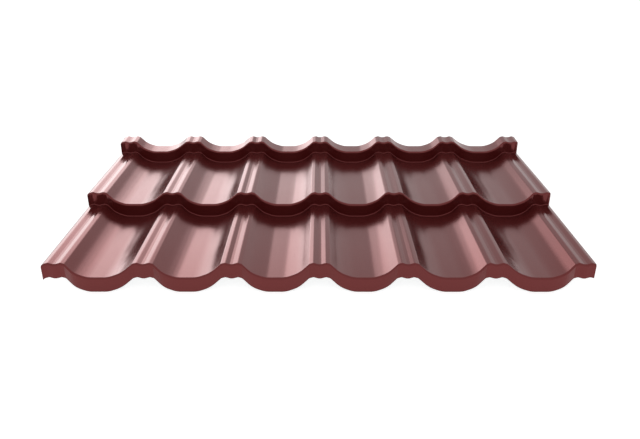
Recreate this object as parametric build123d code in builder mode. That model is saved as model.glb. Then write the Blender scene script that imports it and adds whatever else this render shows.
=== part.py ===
"""Modular roof tile sheet: one piece of painted steel, roll formed into waves
and then pressed into steps, so that it looks like courses of clay tiles.

X runs across the waves, Y up the roof slope and Z up out of the painted side.

The nose line is the edge where a course ends: grooved crests, and pans that
reach forward between them. The course path is the sheet seen from the side:
up the front lip, down the slope of a course, up a step. Every point of the
nose line carried along that path draws the painted side. The underside is the
same line moved inwards by one thickness and carried along the same path.
"""

import os

from build123d import *

# Layout of the sheet, in mm
wave_pitch = 190.0
wave_count = 6
module_length = 350.0
module_count = 2
step_height = 34.0
sheet_thickness = 0.5
left_lap = 26.4
right_lap = 21.4
head_strip = 50.0
head_drop = 1.5

# Corners of the nose line out from a crest: the groove, the ridge beside it,
# the shoulder, the waist where the flank flattens, and the edge of the pan
groove_x = 3.0
ridge_x, ridge_back, ridge_rise = 13.5, 1.2, 2.6
shoulder_x, shoulder_rise = 22.5, 0.6
waist_x, waist_forward, waist_drop = 45.0, 14.0, 14.0
pan_x, pan_forward, pan_drop = 73.0, 18.8, 21.8
ridge_radius = 8.0
waist_radius = 60.0
pan_radius = 60.0

# Bends between the pans and the upright faces, each drawn as short chords
bend_radius = 4.5
bend_chords = 2

half_pitch = wave_pitch / 2
upright = Vector(0, 0, 1)
down_course = Vector(0, module_length, -step_height)
nose_corners = [
    (Vector(groove_x, 0, 0), 0),
    (Vector(ridge_x, ridge_back, ridge_rise), ridge_radius),
    (Vector(shoulder_x, 0, shoulder_rise), 0),
    (Vector(waist_x, -waist_forward, -waist_drop), waist_radius),
    (Vector(pan_x, -pan_forward, -pan_drop), pan_radius),
]


def half_crest(side, reach):
    """Corners of the nose line out from a crest, with their radii. The side is
    -1 on the left and 1 on the right. A reach short of the pan ends in a lap."""
    kept = [corner for corner in nose_corners if corner[0].X < reach]
    if len(kept) < len(nose_corners):
        last, beyond = kept[-1][0], nose_corners[len(kept)][0]
        share = (reach - last.X) / (beyond.X - last.X)
        kept.append((last + (beyond - last) * share, 0))
    return [(Vector(side * point.X, point.Y, point.Z), radius) for point, radius in kept]


def nose_line():
    """Edges of the painted nose line, from left to right."""
    corners = []
    for n in range(wave_count + 1):
        crest = Vector(wave_pitch * (n - wave_count / 2), 0, 0)
        left = half_crest(-1, left_lap if n == 0 else half_pitch)
        right = half_crest(1, right_lap if n == wave_count else half_pitch)
        corners += [(crest + point, radius) for point, radius in left[::-1] + right]
    points, radii = zip(*corners)
    with BuildLine() as line:
        FilletPolyline(*points, radius=radii[1:-1])
    return line.edges().sort_by(Axis.X)


def inner_point(point, way_in, way_out):
    """The point on the underside behind a point of the nose line, given the
    directions of the line before and after it. It is one thickness in from
    both the pan and the upright face."""
    along = way_in + way_out
    pan_normal = along.cross(down_course).normalized()
    wall_normal = along.cross(upright).normalized()
    mitre = (pan_normal + wall_normal) / (1 + pan_normal.dot(wall_normal))
    return point - mitre * (sheet_thickness * 2 / along.length)


def underside(painted):
    """Edges on the underside, one behind each edge of the nose line."""
    first, last = painted[0], painted[-1]
    ends = [inner_point(first @ 0, first % 0, first % 0)]
    ends += [inner_point(b @ 0, a % 1, b % 0) for a, b in zip(painted, painted[1:])]
    ends += [inner_point(last @ 1, last % 1, last % 1)]
    edges = []
    for edge, start, end in zip(painted, ends, ends[1:]):
        if edge.geom_type == GeomType.LINE:
            edges.append(Edge.make_line(start, end))
        else:
            middle = inner_point(edge @ 0.5, edge % 0.5, edge % 0.5)
            edges.append(Edge.make_three_point_arc(start, middle, end))
    return edges


def course_stops():
    """Points of the course path, with each bend cut into chords."""
    corners = [(0, -step_height)]
    for course in range(module_count):
        corners.append((course * module_length, 0))
        corners.append(((course + 1) * module_length, -step_height))
    corners.append((module_count * module_length, 0))
    corners.append((module_count * module_length + head_strip, -head_drop))
    with BuildLine(Plane.YZ) as path:
        FilletPolyline(*corners, radius=bend_radius)
    stops = []
    for edge in path.wire().edges():
        chords = bend_chords if edge.geom_type == GeomType.CIRCLE else 1
        stops += [edge.position_at(n / chords) for n in range(chords)]
    return stops + [path.wire().position_at(1)]


painted_edges = nose_line()
underside_edges = underside(painted_edges)
stops = course_stops()

faces = []
for start, end in zip(stops, stops[1:]):
    for edge in painted_edges + underside_edges:
        faces.append(Face.extrude(edge.moved(Location(start)), end - start))

# The cut edges of the steel: at the lip, at the head and down both sides
for stop in (stops[0], stops[-1]):
    for painted, under in zip(painted_edges, underside_edges):
        faces.append(Face.make_surface_from_curves(painted, under).moved(Location(stop)))
sides = [
    (painted_edges[0] @ 0, underside_edges[0] @ 0),
    (painted_edges[-1] @ 1, underside_edges[-1] @ 1),
]
for painted, under in sides:
    for start, end in zip(stops, stops[1:]):
        corners = [painted + start, painted + end, under + end, under + start]
        faces.append(Face(Wire.make_polygon(corners, close=True)))

with BuildPart() as tile_sheet:
    add(Solid(Shell(faces)))

# The stored frame has its origin at the middle of the sheet, on the floor
box = tile_sheet.part.bounding_box()
tile_sheet.part.position = (-box.center().X, -box.center().Y, -box.min.Z)
tile_sheet.part.label = "tile_sheet"
os.makedirs("parts", exist_ok=True)
export_step(tile_sheet.part, "parts/tile_sheet.step")
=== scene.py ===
# %% [markdown]
# # A pressed roof tile sheet
# The object is one sheet of painted steel, about 1.2 m wide and half a
# millimetre thick. Rolls first bend it into waves, and a press then pushes
# it into steps, so that from the ground it looks like courses of clay tiles.
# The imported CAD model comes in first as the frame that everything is
# measured against.

from math import cos, radians, sin, tan

import bpy
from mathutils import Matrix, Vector


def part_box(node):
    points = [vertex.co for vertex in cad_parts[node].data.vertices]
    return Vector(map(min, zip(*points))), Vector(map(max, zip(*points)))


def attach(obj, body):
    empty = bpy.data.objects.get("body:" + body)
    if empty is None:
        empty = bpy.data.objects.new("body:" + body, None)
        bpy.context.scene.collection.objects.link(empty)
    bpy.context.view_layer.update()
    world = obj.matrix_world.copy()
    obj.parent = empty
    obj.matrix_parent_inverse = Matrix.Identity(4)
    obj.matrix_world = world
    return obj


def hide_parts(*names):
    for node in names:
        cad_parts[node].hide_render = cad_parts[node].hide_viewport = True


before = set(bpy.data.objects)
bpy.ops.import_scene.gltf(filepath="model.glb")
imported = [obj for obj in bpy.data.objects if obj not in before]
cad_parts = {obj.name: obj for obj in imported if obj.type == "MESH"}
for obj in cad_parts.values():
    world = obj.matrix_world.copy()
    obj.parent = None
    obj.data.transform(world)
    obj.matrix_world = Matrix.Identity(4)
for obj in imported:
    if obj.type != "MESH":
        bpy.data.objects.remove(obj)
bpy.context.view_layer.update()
low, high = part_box("tile_sheet")
print("sheet from the CAD:", [round(b - a, 4) for a, b in zip(low, high)], "m")

# %% [markdown]
# The sheet's sizes are the CAD ones. They could be measured on the frame's
# mesh, but a named size says what it is, and the drawing below stays exact.

# %% Sizes of the sheet
MM = 0.001
WAVE_PITCH = 190 * MM
WAVE_COUNT = 6
MODULE_LENGTH = 350 * MM
MODULE_COUNT = 2
STEP_HEIGHT = 34 * MM
THICKNESS = 0.5 * MM
LEFT_LAP = 26.4 * MM
RIGHT_LAP = 21.4 * MM
HEAD_STRIP = 50 * MM
HEAD_DROP = 1.5 * MM
BEND_RADIUS = 4.5 * MM
HALF_PITCH = WAVE_PITCH / 2
width = WAVE_COUNT * WAVE_PITCH + LEFT_LAP + RIGHT_LAP
print("six waves and two laps:", round(width, 4), "m across")

# %% [markdown]
# A wave is the shape that the rolls give. Only its corners are listed, out
# from the middle of a crest to the middle of a pan. Each has its place to the
# right, back and up, and the radius that rounds it.

# %% Corners of one wave
CREST_RADIUS = 8 * MM
PAN_RADIUS = 60 * MM
PAN_FORWARD = 18.8 * MM
PAN_DROP = 21.8 * MM
GROOVE_EDGE = Vector((3, 0, 0)) * MM
RIDGE = Vector((13.5, 1.2, 2.6)) * MM
SHOULDER = Vector((22.5, 0, 0.6)) * MM
WAIST = Vector((45, -14, -14)) * MM
PAN_EDGE = Vector((73 * MM, -PAN_FORWARD, -PAN_DROP))
PAN_MIDDLE = Vector((HALF_PITCH, -PAN_FORWARD, -PAN_DROP))
NOSE_CORNERS = [
    (Vector((0, 0, 0)), 0),
    (GROOVE_EDGE, CREST_RADIUS),
    (RIDGE, CREST_RADIUS),
    (SHOULDER, CREST_RADIUS),
    (WAIST, PAN_RADIUS),
    (PAN_EDGE, PAN_RADIUS),
    (PAN_MIDDLE, 0),
]
print(len(NOSE_CORNERS), "corners from a crest to the middle of a pan")

# %% [markdown]
# Nothing on a pressed sheet is quite sharp. A Bevel modifier could round it,
# but it gives the same radius everywhere. Here each corner of a drawn line is
# replaced by an arc that touches both of its legs. The helper returns the
# points of such a line, each with its direction, because the direction is
# needed later to find the other side of the steel.


# %% Rounded lines
ARC_STEPS = 5


def rounded_line(corners, steps):
    """Points and directions of a line whose inner corners are arcs."""
    points = []
    for n, (corner, radius) in enumerate(corners):
        if n in (0, len(corners) - 1):
            other = corners[1][0] if n == 0 else corners[-2][0]
            way = (other - corner) if n == 0 else (corner - other)
            points.append((corner, way.normalized()))
            continue
        way_in = (corner - corners[n - 1][0]).normalized()
        way_out = (corners[n + 1][0] - corner).normalized()
        turn = way_in.angle(way_out)
        start = corner - way_in * radius * tan(turn / 2)
        inward = (way_out - way_in * way_in.dot(way_out)).normalized()
        for step in range(steps + 1):
            angle = turn * step / steps
            point = start + way_in * radius * sin(angle) + inward * radius * (1 - cos(angle))
            points.append((point, way_in * cos(angle) + inward * sin(angle)))
    return points


print(len(rounded_line(NOSE_CORNERS, ARC_STEPS)), "points in half a wave")

# %% [markdown]
# The front edge repeats from crest to crest, so only half a wave is drawn.
# Its mirror image gives the other half. The sheet ends in side laps: half
# waves that stop short, so that one sheet can slip under the next. The right
# lap is a little narrower than the left one.


# %% The front edge, across the sheet
SAME_PLACE = 0.001 * MM


def half_wave(reach):
    """The front edge from the middle of a crest out to x = reach."""
    inner = [corner for corner in NOSE_CORNERS if corner[0].x < reach - SAME_PLACE]
    last, beyond = inner[-1][0], NOSE_CORNERS[len(inner)][0]
    end = last.lerp(beyond, (reach - last.x) / (beyond.x - last.x))
    return rounded_line(inner + [(end, 0)], ARC_STEPS)


def front_edge():
    """The whole front edge from left to right, as points and directions."""
    edge = []
    for wave in range(WAVE_COUNT + 1):
        crest = Vector(((wave - WAVE_COUNT / 2) * WAVE_PITCH, 0, 0))
        left = half_wave(LEFT_LAP if wave == 0 else HALF_PITCH)
        right = half_wave(RIGHT_LAP if wave == WAVE_COUNT else HALF_PITCH)
        for point, way in reversed(left):
            mirrored = Vector((-point.x, point.y, point.z))
            edge.append((crest + mirrored, Vector((way.x, -way.y, -way.z))))
        edge += [(crest + point, way) for point, way in right]
    kept = [edge[0]]
    for item in edge[1:]:
        if (item[0] - kept[-1][0]).length > SAME_PLACE:
            kept.append(item)
    return kept


nose = front_edge()
reach = nose[-1][0].x - nose[0][0].x
print(len(nose), "points across the sheet, from end to end", round(reach, 4), "m")

# %% [markdown]
# Seen from the side the sheet is a saw: up the front lip, a long way down
# the slope of a course, up a step and down the next course. The bends are
# tight, and it is they that catch the light along every edge of a tile. The
# photograph shows only a faint line of light at the foot of a step, so that
# bend is drawn tightest.

# %% The course path, up the slope
BEND_STEPS = 6
FOOT_RADIUS = 2 * MM
SLOPE_LENGTH = MODULE_COUNT * MODULE_LENGTH
corners = [(Vector((0, 0, -STEP_HEIGHT)), 0)]
for course in range(MODULE_COUNT):
    corners.append((Vector((0, course * MODULE_LENGTH, 0)), BEND_RADIUS))
    corners.append((Vector((0, (course + 1) * MODULE_LENGTH, -STEP_HEIGHT)), FOOT_RADIUS))
corners.append((Vector((0, SLOPE_LENGTH, 0)), BEND_RADIUS))
corners.append((Vector((0, SLOPE_LENGTH + HEAD_STRIP, -HEAD_DROP)), 0))
path = [point for point, _ in rounded_line(corners, BEND_STEPS)]
print(len(path), "points up the slope, the last", round(path[-1].y, 4), "m back")

# %% [markdown]
# The painted side is a grid: every point of the front edge carried along the
# course path. The underside is the same grid a thickness further in, both
# under the pans and behind the upright faces. A Solidify modifier would do
# nearly the same, but it thins the steel where a flank is steep. Here one
# step serves both: it goes inwards until it is a thickness away from the pan
# and from the upright face.


# %% The other side of the steel
def inner_side(point, way):
    """The point of the underside behind a point of the front edge."""
    pan_normal = way.cross(Vector((0, MODULE_LENGTH, -STEP_HEIGHT))).normalized()
    wall_normal = way.cross(Vector((0, 0, 1))).normalized()
    return point - (pan_normal + wall_normal) * THICKNESS / (1 + pan_normal.dot(wall_normal))


behind = inner_side(*nose[0]) - nose[0][0]
print("from the first point to the one behind it:", [round(v / MM, 2) for v in behind], "mm")

# %% [markdown]
# The frame sets the place of the sheet. Everything above is drawn from the
# groove of the middle crest, so that point is found from the CAD box: the
# front lip reaches down to the lowest point of the box, and the pans come
# forward to its front.

# %% Where the sheet lies
lowest = min(inner_side(point, way).z for point, way in nose)
MIDDLE_GROOVE = Vector(
    (
        low[0] + WAVE_COUNT * HALF_PITCH + LEFT_LAP,
        low[1] + PAN_FORWARD,
        low[2] + STEP_HEIGHT - lowest,
    )
)
print("middle groove of the front edge at", [round(v, 4) for v in MIDDLE_GROOVE])

# %% [markdown]
# One mesh takes both grids and joins them with narrow strips round the rim,
# the cut edges. Every face notes which finish it gets: paint above, backing
# below, and bare steel on the rim. Every grid point has a number, and a face
# is the list of its four, in the order that turns it outwards.

# %% The mesh
PAINT, BACKING, CUT_EDGE = range(3)


def build_sheet():
    """The sheet as one closed mesh object."""
    rows = [[point for point, _ in nose], [inner_side(point, way) for point, way in nose]]
    across, along = len(nose), len(path)
    verts = [MIDDLE_GROOVE + point + stop for row in rows for point in row for stop in path]

    def index(side, i, j):
        return (side * across + i) * along + j

    faces, finish = [], []
    for i in range(across - 1):
        for j in range(along - 1):
            top = [index(0, i, j), index(0, i + 1, j), index(0, i + 1, j + 1), index(0, i, j + 1)]
            faces.append(top)
            faces.append([v + across * along for v in reversed(top)])
            finish += [PAINT, BACKING]
        for j, turn in ((0, 1), (along - 1, -1)):
            rim = [index(0, i, j), index(1, i, j), index(1, i + 1, j), index(0, i + 1, j)]
            faces.append(rim[::turn])
            finish.append(CUT_EDGE)
    for j in range(along - 1):
        for i, turn in ((0, 1), (across - 1, -1)):
            rim = [index(0, i, j), index(0, i, j + 1), index(1, i, j + 1), index(1, i, j)]
            faces.append(rim[::turn])
            finish.append(CUT_EDGE)
    mesh = bpy.data.meshes.new("tile_sheet_pressed")
    mesh.from_pydata(verts, [], faces)
    mesh.polygons.foreach_set("material_index", finish)
    mesh.polygons.foreach_set("use_smooth", [mark != CUT_EDGE for mark in finish])
    mesh.update()
    sheet = bpy.data.objects.new("tile_sheet_pressed", mesh)
    bpy.context.collection.objects.link(sheet)
    return sheet


sheet = build_sheet()
print("sheet mesh:", len(sheet.data.vertices), "points,", len(sheet.data.polygons), "faces")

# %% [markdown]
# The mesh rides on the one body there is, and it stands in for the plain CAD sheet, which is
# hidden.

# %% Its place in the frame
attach(sheet, "root")
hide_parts("tile_sheet")
print(sheet.name, "stands for the CAD sheet")

# %% [markdown]
# Smooth shading averages the directions of neighbouring faces. Beside a bend
# a long flat face meets a very short one, and a plain average would tilt the
# light far into the flat. The Weighted Normal modifier lets the large face
# win. The cut edges are left out of the smoothing, so they stay crisp.

# %% Even shading
LARGE_FACES_WIN = 90
weights = sheet.modifiers.new("even shading", "WEIGHTED_NORMAL")
weights.mode = "FACE_AREA"
weights.weight = LARGE_FACES_WIN
print("shading weighted by", weights.mode, weights.weight)

# %% [markdown]
# ## Finishes
# Shader maths reads best as ordinary sums. The class below wraps a socket,
# so that an expression on values adds its own Math nodes. Each operator also
# has its reflected form, which lets a sum start with a plain number.


# %% Values that can be used in sums
def connect(tree, item, slot):
    """Puts a number, a colour or a link into a socket."""
    if isinstance(item, Value):
        tree.links.new(item.socket, slot)
    else:
        slot.default_value = item


class Value:
    """An output socket that can be used in sums."""

    def __init__(self, tree, socket):
        self.tree, self.socket = tree, socket

    def maths(self, operation, *items):
        node = self.tree.nodes.new("ShaderNodeMath")
        node.operation = operation
        for slot, item in zip(node.inputs, items):
            connect(self.tree, item, slot)
        return Value(self.tree, node.outputs[0])

    def __add__(self, other):
        return self.maths("ADD", self, other)

    def __mul__(self, other):
        return self.maths("MULTIPLY", self, other)

    def __sub__(self, other):
        return self.maths("SUBTRACT", self, other)

    def __rsub__(self, other):
        return self.maths("SUBTRACT", other, self)

    __radd__, __rmul__ = __add__, __mul__


print("values can be added, multiplied and subtracted")

# %% [markdown]
# Every finish is a tree of nodes that ends in one shader. The class below
# holds the two, and its one method adds any node: first its settings, then
# what goes into its sockets, by name or by number. The sky further down has
# such a tree too, so the class takes whatever owns the tree.


# %% Finishes
class Finish:
    """The nodes of a material or of the sky, and the shader they end in."""

    def __init__(self, owner, shader, **constants):
        owner.use_nodes = True
        self.owner, self.tree = owner, owner.node_tree
        self.shader = self.tree.nodes[shader]
        self.set(**constants)

    def set(self, **values):
        for name, item in values.items():
            connect(self.tree, item, self.shader.inputs[name.replace("_", " ")])

    def node(self, kind, settings=None, sockets=None, out=0):
        node = self.tree.nodes.new("ShaderNode" + kind)
        for name, item in (settings or {}).items():
            setattr(node, name, item)
        for name, item in (sockets or {}).items():
            connect(self.tree, item, node.inputs[name])
        return Value(self.tree, node.outputs[out])


def material(name, **constants):
    """A new surface finish."""
    return Finish(bpy.data.materials.new(name), "Principled BSDF", **constants)


print("materials so far:", len(bpy.data.materials))

# %% [markdown]
# Two kinds of nodes come back in every finish: a cloudy noise, and a colour
# that lies between two others. A Math node would turn a colour grey, so the
# colours go through a Mix node. That node keeps sockets for several kinds of
# data under the same names, which is why its colours are given by number.

# %% Clouds and mixed colours
MIX_SHARE, MIX_ONE, MIX_OTHER, MIXED_COLOUR = 0, 6, 7, 2


def clouds(finish, place, scale, detail=3.0, roughness=0.6):
    """Noise with about as many clouds to the metre as its scale says."""
    sockets = {"Vector": place, "Scale": scale, "Detail": detail, "Roughness": roughness}
    return finish.node("TexNoise", sockets=sockets)


def between(finish, share, one, other):
    """One colour that turns into another as the share goes from 0 to 1."""
    sockets = {MIX_SHARE: share, MIX_ONE: one, MIX_OTHER: other}
    return finish.node("Mix", {"data_type": "RGBA"}, sockets, MIXED_COLOUR)


print("helpers:", clouds.__name__, "and", between.__name__)

# %% [markdown]
# The painted side carries a baked polyester coat in wine red, semi-gloss.
# Its colour drifts a little from place to place, and so does its gloss. Paint
# that was rolled on and baked also has a faint orange peel, which the bump
# gives. An image could show all this, but it would have to be unwrapped, and
# it would repeat. Three noises of three sizes do neither. The shader is
# partly metallic, so that highlights come out pink and not white, as the
# photograph shows.

# %% Wine red coat
WINE_RED = (0.150, 0.022, 0.021, 1)
DARKER_RED = (0.135, 0.020, 0.020, 1)
DRIFT_SCALE, HAZE_SCALE, PEEL_SCALE = 7.0, 35.0, 420.0
CLEAREST, HAZIER = 0.18, 0.04
PEEL_STRENGTH, PEEL_HEIGHT = 0.04, 0.4 * MM
coat = material("wine_red_coat", Metallic=0.6, IOR=1.5)
place = coat.node("TexCoord", out="Object")
drift = clouds(coat, place, DRIFT_SCALE)
coat.set(Base_Color=between(coat, drift, WINE_RED, DARKER_RED))
haze = clouds(coat, place, HAZE_SCALE, detail=4.0, roughness=0.55)
coat.set(Roughness=CLEAREST + haze * HAZIER)
peel = clouds(coat, place, PEEL_SCALE, detail=2.0, roughness=0.5)
bump = {"Strength": PEEL_STRENGTH, "Distance": PEEL_HEIGHT, "Height": peel}
coat.set(Normal=coat.node("Bump", sockets=bump))
print("nodes in the coat:", len(coat.tree.nodes))

# %% [markdown]
# The underside has a thin grey backing coat. It is rolled on along the sheet,
# so its gloss is streaky. A Mapping node squeezes the clouds into streaks by
# scaling the place they are read at much more across the sheet than along it.

# %% Backing coat
BACKING_GREY = (0.33, 0.34, 0.34, 1)
STREAKS_PER_METRE = (120.0, 4.0, 4.0)
ON_STREAKS, BETWEEN_STREAKS = 0.4, 0.2
backing = material("grey_backing_coat", Base_Color=BACKING_GREY)
place = backing.node("TexCoord", out="Object")
squeezed = backing.node("Mapping", sockets={"Vector": place, "Scale": STREAKS_PER_METRE})
streaks = clouds(backing, squeezed, scale=1.0)
backing.set(Roughness=ON_STREAKS + streaks * BETWEEN_STREAKS)
print("nodes in the backing:", len(backing.tree.nodes))

# %% [markdown]
# The rim was cut in a shear and has no paint. It shows steel between two
# films of zinc, dulled in patches, so one noise drives its colour and gloss.

# %% Cut edge
BRIGHT_ZINC = (0.46, 0.45, 0.44, 1)
DULL_ZINC = (0.30, 0.29, 0.29, 1)
DULLING_SCALE = 90.0
SHEARED, DULLED = 0.3, 0.3
cut_edge = material("cut_steel_edge", Metallic=1.0)
place = cut_edge.node("TexCoord", out="Object")
dulling = clouds(cut_edge, place, DULLING_SCALE)
cut_edge.set(Base_Color=between(cut_edge, dulling, BRIGHT_ZINC, DULL_ZINC))
cut_edge.set(Roughness=SHEARED + dulling * DULLED)
print("nodes in the cut edge:", len(cut_edge.tree.nodes))

# %% [markdown]
# The faces hold only the number of their finish, so the three materials go on
# in the order of PAINT, BACKING and CUT_EDGE.

# %% The finishes go on
for finish in (coat, backing, cut_edge):
    sheet.data.materials.append(finish.owner)
print("finishes:", [finish.name for finish in sheet.data.materials])

# %% [markdown]
# ## Studio
# The sheet lies on a white floor that glows a little, like a light table, so
# it stays white in the picture, keeps a faint shadow and lights the upright
# lips from below. Strong lamps on a plain floor would whiten it too, but they
# would bleach the paint.

# %% Floor
FLOOR_SIZE = 30.0
FLOOR_GAP = 0.2 * MM
FLOOR_WHITE = (0.80, 0.80, 0.80, 1)
FLOOR_GLOW = 0.7
bpy.ops.mesh.primitive_plane_add(size=FLOOR_SIZE, location=(0, 0, -FLOOR_GAP))
floor = bpy.context.object
floor.name = "studio_floor"
paper = material("white_floor", Base_Color=FLOOR_WHITE, Roughness=1.0, Specular_IOR_Level=0.0)
paper.set(Emission_Color=(1, 1, 1, 1), Emission_Strength=FLOOR_GLOW)
floor.data.materials.append(paper.owner)
print("floor of", FLOOR_SIZE, "m,", FLOOR_GAP / MM, "mm below the sheet")

# %% [markdown]
# The sky is white wherever it is seen, straight or as a reflection in the
# paint, so any view of the sheet has a white background. As a light it is
# only about half as strong, which keeps the flanks of the waves dark. The
# Light Path node tells the two apart: its outputs are 1 for the rays that
# look, and their sum here is the share of the sky that is shown.

# %% Sky
SKY_SHOWN = 1.0
SKY_LIGHT = 0.55
world = bpy.data.worlds.new("studio_sky")
bpy.context.scene.world = world
sky = Finish(world, "Background", Color=(1, 1, 1, 1))
looking = ("Camera", "Glossy", "Transmission")
shown = sum(sky.node("LightPath", out=f"Is {kind} Ray") for kind in looking)
sky.set(Strength=shown * SKY_SHOWN + (1 - shown) * SKY_LIGHT)
print("sky gives", SKY_LIGHT, "and shows", SKY_SHOWN)

# %% [markdown]
# A glossy coat shows what stands round it. Two soft boxes stand side by side
# behind the left half of the sheet, in one plane. The low camera sees them
# mirrored in the pans on the left, where the photograph is brightest, and a
# narrow weak one beside the large one softens the change to the right half,
# whose pans mirror only the white sky. Right in front of a step a pan mirrors
# the dark step instead, and that is the dark band in the photograph.


# %% Soft boxes
def soft_box(name, stand, target, width, height, watts):
    """A rectangular lamp that stands at one place and faces another."""
    lamp = bpy.data.lights.new(name, "AREA")
    lamp.shape = "RECTANGLE"
    lamp.size, lamp.size_y = width, height
    lamp.energy = watts
    box = bpy.data.objects.new(name, lamp)
    bpy.context.collection.objects.link(box)
    box.location = stand
    box.rotation_euler = (Vector(target) - box.location).to_track_quat("-Z", "Y").to_euler()
    return box


BEHIND, BOX_MIDDLE, BOX_HEIGHT = 3.2, 1.02, 1.95
# The name of each box, where its middle is across, its width and its power
BOXES = (("left_box", -1.98, 2.7, 43.0), ("middle_box", -0.38, 0.5, 3.5))
for name, across, width, watts in BOXES:
    stand, target = (across, BEHIND, BOX_MIDDLE), (across, 0, BOX_MIDDLE)
    soft_box(name, stand, target, width, BOX_HEIGHT, watts)

# %% [markdown]
# ## Camera
# A camera can be moved by hand until the picture looks right. This one was
# found by fitting the outline of the drawn sheet to the edges in the
# photograph, which is exact to a fraction of a pixel. It stands 1.3 m in
# front of the sheet, almost on its middle line, and looks down at 28 degrees
# through a slightly long lens.

# %% Camera
FILM_WIDTH = 36.0
LENS = 40.74
FROM_MIDDLE_GROOVE = Vector((1.3, -1322.0, 807.4)) * MM
LOOKS_DOWN, TURNS_LEFT = 27.82, 0.04
camera_data = bpy.data.cameras.new("photo_camera")
camera_data.sensor_width = FILM_WIDTH
camera_data.lens = LENS
camera = bpy.data.objects.new("photo_camera", camera_data)
bpy.context.collection.objects.link(camera)
camera.location = MIDDLE_GROOVE + FROM_MIDDLE_GROOVE
camera.rotation_euler = (radians(90 - LOOKS_DOWN), 0, radians(TURNS_LEFT))
bpy.context.scene.camera = camera
print("camera at", [round(v, 3) for v in camera.location])

# %% [markdown]
# The Standard view transform shows colours as they are written.

# %% The end
bpy.context.scene.view_settings.view_transform = "Standard"
